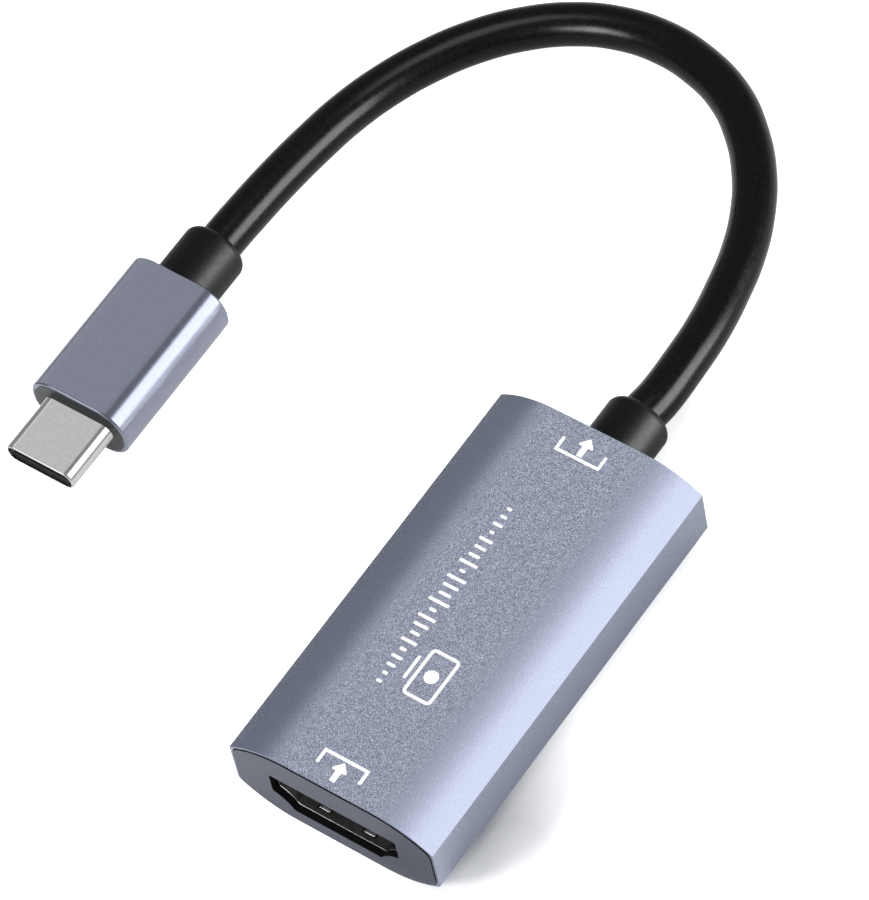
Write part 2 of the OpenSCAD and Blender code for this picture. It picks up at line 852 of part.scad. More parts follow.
module plug_board() {
    color([0.05, 0.2, 0.12])
        at_plug()
            translate([-paddle_w / 2, paddle_front, -paddle_t / 2]) cube([paddle_w, paddle_l, paddle_t]);
}

module plug_board_parts() {
    size = [1, 0.5, 0.35];
    place = paddle_front + tail_l + paddle_part_back;
    color([0.1, 0.1, 0.1])
        at_plug()
            for (x = [-paddle_part_x, paddle_part_x])
                translate([x - size.x / 2, place, paddle_t / 2]) cube(size);
}

module plug_shell() {
    color([0.8, 0.8, 0.8])
        at_plug()
            difference() {
                soft_block(plug_w, plug_t, plug_r, -plug_l, plug_l + plug_in, plug_edge);
                prism_y(-plug_l - over, plug_l + plug_in + 2 * over) plug_outline(plug_sheet);
            }
}

// Places of the contact beams, across the plug
beam_places = [for (i = [0:beam_count - 1]) (i - (beam_count - 1) / 2) * beam_pitch];

module plug_insulator() {
    front = mouth_back - plug_l;
    slot = [slot_w, plug_l - slot_end - mouth_back + over, slot_h];
    beam_slot = [beam_slot_w, -slot_end - beam_front, 2 * beam_slot_z];
    channel = [beam_slot_w, slot_end + plug_in + over, beam_t + 2 * fit_gap];
    latch_slot = [plug_w / 2, latch_root.y + latch_root_r + fit_gap - beam_front, latch_slot_h];
    color([0.04, 0.04, 0.045])
        at_plug()
            difference() {
                prism_y(front, plug_in - front) plug_outline(plug_sheet + fit_gap);
                translate([-slot.x / 2, front - over, -slot.z / 2]) cube(slot);
                for (x = beam_places) {
                    translate([x - beam_slot.x / 2, beam_front, -beam_slot.z / 2]) cube(beam_slot);
                    for (side = [-1, 1])
                        translate([x, channel.y / 2 - slot_end, side * (paddle_t + beam_t) / 2])
                            cube(channel, center = true);
                }
                for (side = [0, 1])
                    mirror([side, 0, 0])
                        translate([0, beam_front, -latch_slot.z / 2]) cube(latch_slot);
            }
}

// A row of beams: tails on the small board, bumps near the mouth
module contact_beams() {
    mid = (paddle_t + beam_t) / 2;
    half = beam_t / 2;
    color([0.83, 0.68, 0.35])
        for (x = beam_places)
            translate([x, 0, 0])
                plate_x(beam_w)
                    polygon([
                        [paddle_front + tail_l, mid + half], [-slot_end, mid + half],
                        [beam_bump, mid + half - beam_rise], [beam_tip, mid + half + beam_rise],
                        [beam_tip, mid - half + beam_rise], [beam_bump, mid - half - beam_rise],
                        [-slot_end, mid - half], [paddle_front + tail_l, mid - half]
                    ]);
}

module plug_contacts_upper() { at_plug() contact_beams(); }
module plug_contacts_lower() { at_plug() mirror([0, 0, 1]) contact_beams(); }

// A side latch: it turns about the round at its root
module latch() {
    half = [latch_t / 2, 0];
    color([0.82, 0.82, 0.82])
        translate([0, 0, -latch_h / 2])
            linear_extrude(latch_h) {
                polygon([
                    latch_root - half, latch_bump - half, latch_tip - half,
                    latch_tip + half, latch_bump + half, latch_root + half
                ]);
                translate(latch_root) circle(latch_root_r, $fn = 32);
            }
}

module plug_latch_left() { at_plug() mirror([1, 0, 0]) latch(); }
module plug_latch_right() { at_plug() latch(); }

shell();
front_plate();
rear_plate();
main_board();
socket_shell();
socket_insulator();
socket_contacts();
socket_spring_upper_left();
socket_spring_upper_right();
socket_spring_lower_left();
socket_spring_lower_right();
capture_chip();
memory_chip();
regulator();
crystal();
power_inductor();
capacitors();
resistors();
box_relief();
box_cable_end();
box_wires();
cable();
plug_relief();
plug_cable_end();
plug_wires();
plug_housing();
plug_core();
plug_board();
plug_board_parts();
plug_shell();
plug_insulator();
plug_contacts_upper();
plug_contacts_lower();
plug_latch_left();
plug_latch_right();
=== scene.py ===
# %% [markdown]
# # A video capture box, dressed for its portrait
#
# The object is a small aluminium tube with a video socket at one end and a short black cable at
# the other, which ends in a flat plug. The construction is already there as a frame of exact
# solids. In this lesson Blender gives each piece its finish, and remakes the pieces whose edges
# a camera would miss. Everything is in metres and in the frame's own place, so nothing is fitted
# by eye: +X is across the box, +Y runs from the socket to the cable and +Z is up.

# %% Load the frame
import math

import bmesh
import bpy
from mathutils import Matrix, Vector
from mathutils.geometry import tessellate_polygon


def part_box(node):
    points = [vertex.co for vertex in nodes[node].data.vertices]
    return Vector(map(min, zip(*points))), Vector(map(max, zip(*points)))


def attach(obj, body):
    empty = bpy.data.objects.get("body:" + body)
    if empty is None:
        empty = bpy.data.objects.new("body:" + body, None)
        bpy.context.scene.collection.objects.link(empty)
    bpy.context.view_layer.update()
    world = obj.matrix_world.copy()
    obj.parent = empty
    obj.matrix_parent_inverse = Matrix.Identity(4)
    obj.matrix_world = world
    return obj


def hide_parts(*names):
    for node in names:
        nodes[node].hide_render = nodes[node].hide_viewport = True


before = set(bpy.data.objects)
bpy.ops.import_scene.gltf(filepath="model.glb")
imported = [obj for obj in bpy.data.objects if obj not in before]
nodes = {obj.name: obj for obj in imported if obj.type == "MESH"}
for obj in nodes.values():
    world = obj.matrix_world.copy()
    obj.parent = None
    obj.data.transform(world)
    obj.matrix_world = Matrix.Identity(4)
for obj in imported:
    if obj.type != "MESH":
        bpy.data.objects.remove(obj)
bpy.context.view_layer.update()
scene = bpy.context.scene
MM = 0.001
BOX = "capture_box"


def mm(x, y, z):
    """A point given in millimetres, as Blender wants it."""
    return Vector((x, y, z)) * MM


def size_of(node):
    """Lowest and highest corner of a solid of the frame, in millimetres."""
    low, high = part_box(node)
    return low / MM, high / MM


# %% [markdown]
# ## The camera
#
# The picture is taken from the front right, high above the table, with the camera turned a little
# in the hand. A long lens would be the usual choice for a small product, because it keeps the far
# end of the box as wide as the near end. The camera could be placed by dragging it, but five
# numbers are easier to keep: the point that it looks at, how far away it stands, its two angles
# and its roll.

# %% Camera
AIM = mm(-17.642, 18.175, 0)
AWAY = 612.2 * MM
AZIMUTH = math.radians(45.563)
ELEVATION = math.radians(56.082)
ROLL = math.radians(-13.147)
LENS_MM = 248.93
SENSOR_MM = 36
CLIP_NEAR, CLIP_FAR = 0.05, 20

outward = math.cos(ELEVATION)
toward_camera = Vector(
    (outward * math.sin(AZIMUTH), -outward * math.cos(AZIMUTH), math.sin(ELEVATION))
)
camera_data = bpy.data.cameras.new("portrait_camera")
camera_data.lens = LENS_MM
camera_data.sensor_width = SENSOR_MM
camera_data.clip_start = CLIP_NEAR
camera_data.clip_end = CLIP_FAR
camera = bpy.data.objects.new("portrait_camera", camera_data)
scene.collection.objects.link(camera)
camera.location = AIM + toward_camera * AWAY
camera.rotation_mode = "QUATERNION"
straight = (-toward_camera).to_track_quat("-Z", "Y")
camera.rotation_quaternion = straight @ Matrix.Rotation(ROLL, 3, "Z").to_quaternion()
scene.camera = camera
print("camera stands at", [round(v / MM, 1) for v in camera.location], "mm")

# %% [markdown]
# ## The cable
#
# The cable is a soft black tube, a good deal thinner than a pencil. It leaves the box level, sinks
# to the table, lies there in a half loop and climbs again into the plug. A chain of cylinders or a
# swept mesh could make it, but a curve with a round bevel keeps its smooth line at any closeness,
# and its length can be read from it. The marks are places across and along from the exit, with the
# share of the end's height that the cable still has there.

# %% Cable route
CABLE_D = 4.6
CABLE_EXIT = (0, 29.5, 4.5)
PLUG_AXIS_Z = 3.5
ROUTE_MARKS = [
    (0, 0, 1), (0.2, 2.5, 0.95), (0, 7.3, 0.77), (-0.5, 12.3, 0.54),
    (-1.5, 17.3, 0.3), (-2.8, 22.1, 0.12), (-4.7, 26.7, 0.02), (-7.3, 31, 0),
    (-10.6, 34.7, 0), (-14.6, 37.7, 0), (-19.4, 39.5, 0), (-24.3, 40.1, 0),
    (-29.2, 39.4, 0), (-33.7, 37.5, 0), (-37.8, 34.5, 0), (-41.2, 30.8, 0),
    (-44, 26.4, 0), (-46.1, 21.7, 0.02), (-47.5, 16.8, 0.12), (-48.2, 11.8, 0.36),
    (-48.6, 6.7, 0.65), (-48.8, 1.5, 0.89), (-48.9, -3.7, 1),
]


def route_point(index):
    """One mark as a point: the first half of the cable rises to the box, the second to the plug."""
    across, along, lift = ROUTE_MARKS[index]
    end_z = CABLE_EXIT[2] if index < len(ROUTE_MARKS) // 2 else PLUG_AXIS_Z
    lying_z = CABLE_D / 2
    return mm(across, CABLE_EXIT[1] + along, lying_z + lift * (end_z - lying_z))


route = [route_point(i) for i in range(len(ROUTE_MARKS))]
straight_run = sum((b - a).length for a, b in zip(route, route[1:]))
print("cable route:", len(route), "points,", round(straight_run / MM, 1), "mm point to point")

# %% Cable curve
ROUND_STEPS, ROUTE_STEPS = 10, 10
curve = bpy.data.curves.new("cable_jacket", "CURVE")
curve.dimensions = "3D"
curve.bevel_depth = 1
curve.bevel_resolution = ROUND_STEPS
curve.resolution_u = ROUTE_STEPS
curve.use_fill_caps = True
line = curve.splines.new("BEZIER")
line.bezier_points.add(len(route) - 1)
for knot, place in zip(line.bezier_points, route):
    knot.co = place
    knot.radius = CABLE_D / 2 * MM
    knot.handle_left_type = "AUTO"
    knot.handle_right_type = "AUTO"
cable = bpy.data.objects.new("cable_jacket", curve)
scene.collection.objects.link(cable)
bpy.context.view_layer.update()
for knot in (line.bezier_points[0], line.bezier_points[-1]):
    reach = (knot.handle_right - knot.co).length
    knot.handle_left_type = "FREE"
    knot.handle_right_type = "FREE"
    way = 1 if knot.co.x > -MM else -1
    knot.handle_right = knot.co + Vector((0, way * reach, 0))
    knot.handle_left = knot.co - Vector((0, way * reach, 0))
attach(cable, BOX)
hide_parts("cable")

# %% [markdown]
# ## Rows of points
#
# Most pieces of this object are drawn tubes: the shell, the plug's housing, its steel mouth and
# the rubber sleeves. On each of them one outline runs along a line and shrinks or grows a little
# where an edge is rounded. A cube with bevels could come close, but rows of points that follow the
# outline give every edge its true radius and leave no stray faces. A few small helpers are enough:
# three draw outlines, one stands an outline up as a row, one joins two rows, and one closes a flat
# face with its holes.

# %% Helpers for outlines and rows
SHARP_TURN = math.radians(14)


def rectangle(w, h):
    """A rectangle about the origin, counter-clockwise."""
    return [(w / 2, h / 2), (-w / 2, h / 2), (-w / 2, -h / 2), (w / 2, -h / 2)]


def circle(radius, steps=72):
    """A circle about the origin, counter-clockwise."""
    turns = [2 * math.pi * k / steps for k in range(steps)]
    return [(radius * math.cos(turn), radius * math.sin(turn)) for turn in turns]


def soften(outline, radius, steps=5):
    """Rounds each sharp corner of a closed outline with a true arc, and leaves gentle bends alone."""
    soft = []
    for i, corner in enumerate(outline):
        here = Vector(corner)
        back = (Vector(outline[i - 1]) - here).normalized()
        ahead = (Vector(outline[(i + 1) % len(outline)]) - here).normalized()
        turn = math.pi - back.angle(ahead)
        if turn < SHARP_TURN:
            soft.append(here)
            continue
        middle = here + (back + ahead).normalized() * radius / math.cos(turn / 2)
        start = here + back * radius * math.tan(turn / 2) - middle
        left_hand = back.y * ahead.x - back.x * ahead.y > 0
        signed = turn if left_hand else -turn
        for k in range(steps + 1):
            soft.append(middle + Matrix.Rotation(signed * k / steps, 2) @ start)
    return soft


def row(bm, outline, y, centre=(0, 0)):
    """Stands an outline up as a closed row of points at one depth."""
    return [bm.verts.new(mm(centre[0] + x, y, centre[1] + z)) for x, z in outline]


def skin(bm, first, second):
    """Joins two rows of as many points with a band of four-sided faces."""
    after = [(i + 1) % len(first) for i in range(len(first))]
    return [bm.faces.new((first[i], first[j], second[j], second[i])) for i, j in enumerate(after)]


def close(bm, edge, *holes):
    """Closes a flat face inside a row, round any holes in it."""
    loops = [[v.co / MM for v in loop] for loop in (edge, *holes)]
    points = [v for loop in (edge, *holes) for v in loop]
    return [bm.faces.new([points[i] for i in three]) for three in tessellate_polygon(loops)]


print("a softened square has", len(soften(rectangle(2, 2), 0.3)), "points")

# %% Helpers for finished pieces


def drawn(bm, outline_at, path, centre):
    """A closed wall: rows of outline_at(size) at each (size, y) of a path that returns to its start."""
    rows = [row(bm, outline_at(size), y, centre) for size, y in path]
    for first, second in zip(rows, rows[1:] + rows[:1]):
        skin(bm, first, second)


def quarter_round(edge, end, inward, steps=5):
    """The (inset, y) places round an edge, from the end face to the side."""
    places = []
    for k in range(steps + 1):
        turn = math.pi / 2 * k / steps
        places.append((edge - edge * math.sin(turn), end + inward * (edge - edge * math.cos(turn))))
    return places


def piece(name, bm, slot, *stands_for, smooth=50):
    """Turns built faces into an object that rides on the box and stands for solids of the frame."""
    bmesh.ops.recalc_face_normals(bm, faces=bm.faces)
    loose = sum(1 for edge in bm.edges if not edge.is_manifold)
    mesh = bpy.data.meshes.new(name)
    bm.to_mesh(mesh)
    bm.free()
    mesh.shade_smooth()
    mesh.set_sharp_from_angle(angle=math.radians(smooth))
    made = bpy.data.objects.new(name, mesh)
    scene.collection.objects.link(made)
    normals = made.modifiers.new("even_normals", "WEIGHTED_NORMAL")
    normals.keep_sharp = True
    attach(made, BOX)
    if stands_for:
        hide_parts(*stands_for)
    print(name + ":", len(mesh.polygons), "faces,", loose, "open edges")
    return made


print("a rounded edge has", len(quarter_round(1, 0, 1)), "places")

# %% [markdown]
# ## The shell
#
# The shell is a length of extruded aluminium tube. Its section has a flat strip along the top and
# the bottom, two crowned shoulders and two flat sides, and ribs inside hold the circuit board. An
# extruded curve would give the section, but not the fine bevel at both ends or the seat that takes
# the end plates. So the outer rows follow the section, step in at the rim and again at the seat,
# and the bore with its ribs is closed against them by flat faces. The small round where shoulder
# and side meet is what draws the light line along the real edge.

# %% Shell sizes
shell_low, shell_high = size_of("shell")
front_end, rear_end = shell_low.y, shell_high.y
body_w, body_t = shell_high.x - shell_low.x, shell_high.z - shell_low.z
body_mid = body_t / 2
FLAT_W = 10
SIDE_H = 5.7
WALL = 0.9
RIM = 0.25
END_BEVEL = 0.03
EDGE_R = 0.1
SEAT = 1.15
SEAT_CORNER = 1.5
shoulder_run = (body_w - FLAT_W) / 2
shoulder_drop = (body_t - SIDE_H) / 2
shoulder_r = (shoulder_run**2 + shoulder_drop**2) / (2 * shoulder_drop)
shoulder_z = body_t / 2 - shoulder_r
print("shell:", round(body_w, 2), "x", round(rear_end - front_end, 2), "x", round(body_t, 2), "mm")

# %% Shell section
SHOULDER_STEPS = 18


def body_outline(inset):
    """The tube's section drawn in by an even amount, with sharp corners."""
    side = body_w / 2 - inset
    radius = shoulder_r - inset
    last = math.asin((side - FLAT_W / 2) / radius)
    quarter = []
    for k in range(SHOULDER_STEPS, -1, -1):
        lean = last * k / SHOULDER_STEPS
        quarter.append((FLAT_W / 2 + radius * math.sin(lean), shoulder_z + radius * math.cos(lean)))
    upper = quarter + [(-x, z) for x, z in reversed(quarter)]
    return upper + [(-x, -z) for x, z in upper]


def body_section(inset):
    """The same section with its corners rounded: small ones outside, large ones round the seat."""
    return soften(body_outline(inset), SEAT_CORNER if inset == RIM else EDGE_R)


def bore_outline():
    """The inside of the tube, with the ribs and grooves that hold the board."""
    board_low, board_high = size_of("main_board")
    gap, rib, depth = 0.1, 0.6, 0.9
    low, high = board_low.z - gap - body_mid, board_high.z + gap - body_mid
    rib_x, groove_x = board_high.x - depth, board_high.x + gap
    foot_z = -shoulder_z - math.sqrt((shoulder_r - WALL) ** 2 - (rib_x - FLAT_W / 2) ** 2)
    ribs = [
        (rib_x, foot_z), (rib_x, low), (groove_x, low), (groove_x, high),
        (rib_x, high), (rib_x, high + rib), (body_w / 2 - WALL, high + rib),
    ]
    wall = body_outline(WALL)
    top = [(x, z) for x, z in wall if z > 0]
    bottom = [(x, z) for x, z in wall if z < 0 and abs(x) < rib_x]
    return top + [(-x, z) for x, z in reversed(ribs)] + bottom + ribs


print("section:", len(body_section(0)), "points, bore:", len(bore_outline()), "points")

# %% Shell piece
centre = (0, body_mid)
bm = bmesh.new()
front_edge = quarter_round(END_BEVEL, front_end, 1, steps=3)
rear_edge = quarter_round(END_BEVEL, rear_end, -1, steps=3)
outer_path = [(RIM, front_end + SEAT), (RIM, front_end)]
outer_path += front_edge + rear_edge[::-1]
outer_path += [(RIM, rear_end), (RIM, rear_end - SEAT)]
outer_rows = [row(bm, body_section(inset), y, centre) for inset, y in outer_path]
for first, second in zip(outer_rows, outer_rows[1:]):
    skin(bm, first, second)
bore_rows = [row(bm, bore_outline(), y, centre) for y in (front_end + SEAT, rear_end - SEAT)]
skin(bm, *bore_rows)
close(bm, outer_rows[0], bore_rows[0])
close(bm, outer_rows[-1], bore_rows[1])
shell = piece("blasted_shell", bm, "blasted_aluminium", "shell", smooth=32)

# %% [markdown]
# ## The end plates
#
# A plate closes each mouth of the tube and stands a tenth of a millimetre out of it. It is moulded in
# black plastic and its face is sprayed in a dark metallic grey, so a fine dark line runs round the
# face and the wall of the socket's cut-out stays black. A boolean could punch the cut-out, but it
# leaves a hard, unlit edge. Here the face is closed between two rows of points, and a narrow sloped
# band round each row makes the edge that the light finds. The cut-out has upright sides over two
# hollow flanks, and each flank is an arc of one circle.

# %% Socket outline
SOCKET_W, SOCKET_H = 14, 4.55
SHEET = 0.25
FLANK_IN, FLANK_UP, FLANK_R = 2, 1.75, 4
FLANK_STEPS = 8
AXIS_Z = CABLE_EXIT[2]
flank_chord = math.hypot(FLANK_IN, FLANK_UP)
flank_reach = math.sqrt(FLANK_R**2 - flank_chord**2 / 4) / flank_chord
flank_x = (SOCKET_W - FLANK_IN) / 2 + flank_reach * FLANK_UP
flank_z = (FLANK_UP - SOCKET_H) / 2 - flank_reach * FLANK_IN


def socket_outline(grow, widen=0):
    """The socket's opening, grown by an even amount and widened at its sides, with sharp corners."""
    side, top = SOCKET_W / 2 + grow + widen, SOCKET_H / 2 + grow
    radius = FLANK_R - grow
    start = math.acos((side - flank_x) / radius)
    stop = math.pi - math.asin((-top - flank_z) / radius)
    down = [(side, top)]
    for k in range(FLANK_STEPS + 1):
        turn = start + (stop - start) * k / FLANK_STEPS
        down.append((flank_x + radius * math.cos(turn), flank_z + radius * math.sin(turn)))
    return [(-x, z) for x, z in down] + down[::-1]


print("socket's cut-out:", len(socket_outline(0.3)), "points before its corners are rounded")

# %% End plates
FIT = 0.05
PLATE_INSET = RIM + FIT
PLATE_CORNER = SEAT_CORNER - FIT
SEAM = 0.02
HOLE_BEVEL = 0.03
PLATE_T = 1.25
BARE = 1


def plate_edge(inset):
    """The outline of an end plate, drawn in by an even amount."""
    return soften(body_outline(PLATE_INSET + inset), PLATE_CORNER)


def end_plate(name, node, face, opening):
    """A plate with a sprayed face, a bevelled rim and an opening of (outline, depth) rows."""
    low, high = size_of(node)
    outside, inside = (low.y, high.y) if face < 0 else (high.y, low.y)
    bm = bmesh.new()
    rim = [row(bm, plate_edge(SEAM), outside, centre)]
    rim += [row(bm, plate_edge(0), y, centre) for y in (outside - face * SEAM, inside)]
    hole = [row(bm, outline, outside - face * depth, (0, AXIS_Z)) for outline, depth in opening]
    close(bm, rim[0], hole[0])
    bare = skin(bm, rim[0], rim[1]) + skin(bm, rim[1], rim[2]) + close(bm, rim[2], hole[-1])
    for first, second in zip(hole, hole[1:]):
        bare += skin(bm, first, second)
    for flat in bare:
        flat.material_index = BARE
    return piece(name, bm, "end_plate", node, smooth=30)


print("a plate's edge has", len(plate_edge(0)), "points")

# %% Both plates
MOUTH_SIDE = 0.25
MOUTH_CORNER = 0.25
REBATE_CORNER = 0.02
LIP = 0.7
NECK_R = 3


def mouth(grow):
    """The cut-out in the front plate's face."""
    return soften(socket_outline(FIT + grow, MOUTH_SIDE), MOUTH_CORNER)


rebate = soften(socket_outline(SHEET + FIT), REBATE_CORNER)
socket_opening = [(mouth(HOLE_BEVEL), 0), (mouth(0), HOLE_BEVEL), (mouth(0), LIP)]
socket_opening += [(rebate, LIP), (rebate, PLATE_T)]
front_plate = end_plate("socket_plate", "front_plate", -1, socket_opening)
neck_opening = [(circle(NECK_R + HOLE_BEVEL), 0), (circle(NECK_R), HOLE_BEVEL)]
neck_opening += [(circle(NECK_R), PLATE_T)]
rear_plate = end_plate("cable_plate", "rear_plate", 1, neck_opening)

# %% [markdown]
# ## The strain reliefs
#
# A rubber sleeve keeps the cable from being bent sharply where it leaves the box and the plug. Each
# sleeve is a turned form: a straight cylinder with a well rounded end. A screw modifier would turn
# a profile too, but the same rows of points do it here, with circles for outlines. The box's
# sleeve has a neck in the rear plate and a flange behind it, so that a pull can't draw it out.

# %% Strain reliefs
RELIEF_R = 3.45
RELIEF_ROUND = 1.0
BORE_R = CABLE_D / 2 + FIT
FLANGE_R, NECK_IN_PLATE_R = 3.5, 2.95


def sleeve_end(start, end):
    """The (radius, y) places of a sleeve: out along its side, round its end and back to the bore."""
    bend = quarter_round(RELIEF_ROUND, end, -1, steps=10)[::-1]
    return [(RELIEF_R, start)] + [(RELIEF_R - inset, y) for inset, y in bend] + [(BORE_R, end)]


relief_low, relief_high = size_of("box_relief")
plate_low, plate_high = size_of("rear_plate")
bm = bmesh.new()
anchor = [
    (BORE_R, relief_low.y), (FLANGE_R, relief_low.y), (FLANGE_R, plate_low.y),
    (NECK_IN_PLATE_R, plate_low.y), (NECK_IN_PLATE_R, plate_high.y),
]
drawn(bm, circle, anchor + sleeve_end(plate_high.y, relief_high.y), (0, AXIS_Z))
box_relief = piece("box_sleeve", bm, "relief_rubber", "box_relief")

# %% Plug relief
HOUSING_W, HOUSING_T, HOUSING_R = 11.7, 7, 3.2
HOUSING_WALL, HOUSING_EDGE = 0.4, 0.25
housing_low, housing_high = size_of("plug_housing")
plug_x = (housing_low.x + housing_high.x) / 2
plug_centre = (plug_x, PLUG_AXIS_Z)
housing_front, housing_rear = housing_low.y, housing_high.y


def housing_section(inset):
    """The plug housing's round-cornered section, drawn in by an even amount."""
    sharp = rectangle(HOUSING_W - 2 * inset, HOUSING_T - 2 * inset)
    return soften(sharp, HOUSING_R - inset, steps=18)


plug_relief_low, plug_relief_high = size_of("plug_relief")
bm = bmesh.new()
sleeve = [(BORE_R, housing_rear)] + sleeve_end(housing_rear, plug_relief_high.y)
drawn(bm, circle, sleeve, plug_centre)
flange_inset = HOUSING_WALL + FIT
ends = (plug_relief_low.y, housing_rear)
flange = [row(bm, housing_section(flange_inset), y, plug_centre) for y in ends]
flange_bore = [row(bm, circle(BORE_R), y, plug_centre) for y in ends]
skin(bm, *flange)
skin(bm, *flange_bore)
for outside, inside in zip(flange, flange_bore):
    close(bm, outside, inside)
plug_relief = piece("plug_sleeve", bm, "relief_rubber", "plug_relief")

# %% [markdown]
# ## The plug
#
# The plug's housing is a short aluminium sleeve with a smooth satin face, and its ends are rounded
# over. A drawn steel shell stands out of it: one sheet, bent round with no seam in sight and rolled
# in at the rim. Bevelled boxes could stand for both, but their corners would lose the long bright
# streaks, so the rows follow the true radii again. The plastic inside, its contacts and the two
# side latches keep the frame's own solids, because little more than their dark mouth is seen.

# %% Plug housing and steel shell
PLUG_W, PLUG_T, PLUG_R = 8.25, 2.4, 1.1
PLUG_SHEET, PLUG_EDGE = 0.25, 0.2
INNER_EDGE = 0.08


def hollow_path(front, rear, wall, edge, front_lip):
    """The (inset, y) places of a hollow sleeve with rounded ends and a small lip inside its mouth."""
    path = [(wall, front + front_lip), (wall - front_lip, front)]
    path += quarter_round(edge, front, 1) + quarter_round(edge, rear, -1)[::-1]
    return path + [(wall, rear)]


def plug_section(inset):
    """The steel shell's section, drawn in by an even amount."""
    sharp = rectangle(PLUG_W - 2 * inset, PLUG_T - 2 * inset)
    return soften(sharp, PLUG_R - inset, steps=14)


bm = bmesh.new()
housing_path = hollow_path(housing_front, housing_rear, HOUSING_WALL, HOUSING_EDGE, INNER_EDGE)
drawn(bm, housing_section, housing_path, plug_centre)
housing = piece("satin_housing", bm, "satin_aluminium", "plug_housing", smooth=40)

steel_low, steel_high = size_of("plug_shell")
bm = bmesh.new()
steel_path = hollow_path(steel_low.y, steel_high.y, PLUG_SHEET, PLUG_EDGE, PLUG_SHEET - PLUG_EDGE)
drawn(bm, plug_section, steel_path, plug_centre)
steel = piece("steel_mouth", bm, "plug_steel", "plug_shell", smooth=60)

# %% Cord
print("the cable, its plug and both sleeves ride on the box")

# %% [markdown]
# ## The printed marks
#
# The top of the box carries white print. On this part it is a set of plain signs: an arrow into a
# tray at the socket, an arrow out of a tray at the cable, the bars of a sound wave along the box
# and a screen with a dot. A texture could carry them, but a thin film of ink as real geometry stays
# sharp at any distance. Each sign is a closed outline, stood two hundredths of a millimetre above
# the metal.

# %% Ink helpers
INK_T = 0.02
INK_BED = 0.01
BAR_ROUND = 0.45


def ink_row(bm, outline, z):
    """Lays an outline flat as a closed row of points at one height."""
    return [bm.verts.new(mm(x, y, z)) for x, y in outline]


def ink(bm, outline, hole=()):
    """A film of ink with the given outline, and a hole if it has one."""
    heights = (body_t - INK_BED, body_t + INK_T)
    edges = [ink_row(bm, outline, z) for z in heights]
    skin(bm, *edges)
    holes = [ink_row(bm, hole, z) for z in heights] if hole else [(), ()]
    if hole:
        skin(bm, *holes)
    for edge, inner in zip(edges, holes):
        close(bm, edge, *([inner] if hole else []))


def moved(outline, x, y):
    """An outline shifted across and along the box."""
    return [(x + px, y + py) for px, py in outline]


def bar(x, y, w, h):
    """A bar with rounded ends about one point."""
    return moved(soften(rectangle(w, h), BAR_ROUND * min(w, h), steps=4), x, y)


print("ink stands", INK_T, "mm above the metal")

# %% Marks
STROKE = 0.34
INK_CORNER = 0.12
ARROW = [(0, 1.1), (-0.95, 0), (-0.32, 0), (-0.32, -1.2), (0.32, -1.2), (0.32, 0), (0.95, 0)]
TRAY_W, TRAY_H = 5.2, 1.7
IN_SIGN, OUT_SIGN = (-20.9, -20.2, -1), (20.7, 19.9, 1)
WAVE_BARS = 23
WAVE_STEP = 1.0
WAVE_X, WAVE_START = -2.4, 11.2
BAR_LEAST, BAR_SWELL = 0.5, 1.9
BEAT, BEAT_START = 1.9, 0.6
SCREEN_X, SCREEN_Y, SCREEN_H, SCREEN_W = 1.7, -8.0, 3.3, 5.6
SCREEN_CORNER, PANE_CORNER = 0.55, 0.2
DOT_R = 0.75
STAND_GAP, STAND_W = 0.6, 2.8

bm = bmesh.new()
for arrow_y, tray_y, opens in (IN_SIGN, OUT_SIGN):
    ink(bm, moved(soften(ARROW, INK_CORNER), 0, arrow_y))
    half, deep = TRAY_W / 2, TRAY_H / 2
    tray = [(half, deep), (half - STROKE, deep), (half - STROKE, STROKE - deep)]
    tray += [(-x, y) for x, y in reversed(tray)] + [(-half, -deep), (half, -deep)]
    turned = [(x, opens * y) for x, y in tray]
    ink(bm, moved(soften(turned, INK_CORNER), 0, tray_y))
for k in range(WAVE_BARS):
    swell = math.sin(math.pi * (k + 0.5) / WAVE_BARS)
    height = BAR_LEAST + BAR_SWELL * swell * abs(math.sin(BEAT * k + BEAT_START))
    ink(bm, bar(WAVE_X, WAVE_START - k * WAVE_STEP, height, STROKE))
screen = moved(soften(rectangle(SCREEN_H, SCREEN_W), SCREEN_CORNER), SCREEN_X, SCREEN_Y)
pane = soften(rectangle(SCREEN_H - 2 * STROKE, SCREEN_W - 2 * STROKE), PANE_CORNER)
ink(bm, screen, moved(pane, SCREEN_X, SCREEN_Y))
ink(bm, moved(circle(DOT_R, 32), SCREEN_X, SCREEN_Y))
ink(bm, bar(SCREEN_X - SCREEN_H / 2 - STAND_GAP, SCREEN_Y, STROKE, STAND_W))
marks = piece("printed_marks", bm, None)

# %% [markdown]
# ## Finishes
#
# No real surface is one flat colour. Blasted metal is pitted by fine beads, moulded plastic has a
# faint orange skin, rubber has a dry bloom. All of them can be described by the same few words: a
# grain of some size, two colours that it wavers between, a range of gloss and a height. So one
# helper builds that node chain, and each finish below is a short call with its own numbers. The
# grain is read in object space, so it keeps its true size on every piece.

# %% Helper for grained finishes
GRAIN_LOW, GRAIN_HIGH = 0.32, 0.68


def add_node(tree, kind, **settings):
    """Adds a node and sets its inputs by name."""
    node = tree.nodes.new(kind)
    for name, value in settings.items():
        node.inputs[name].default_value = value
    return node


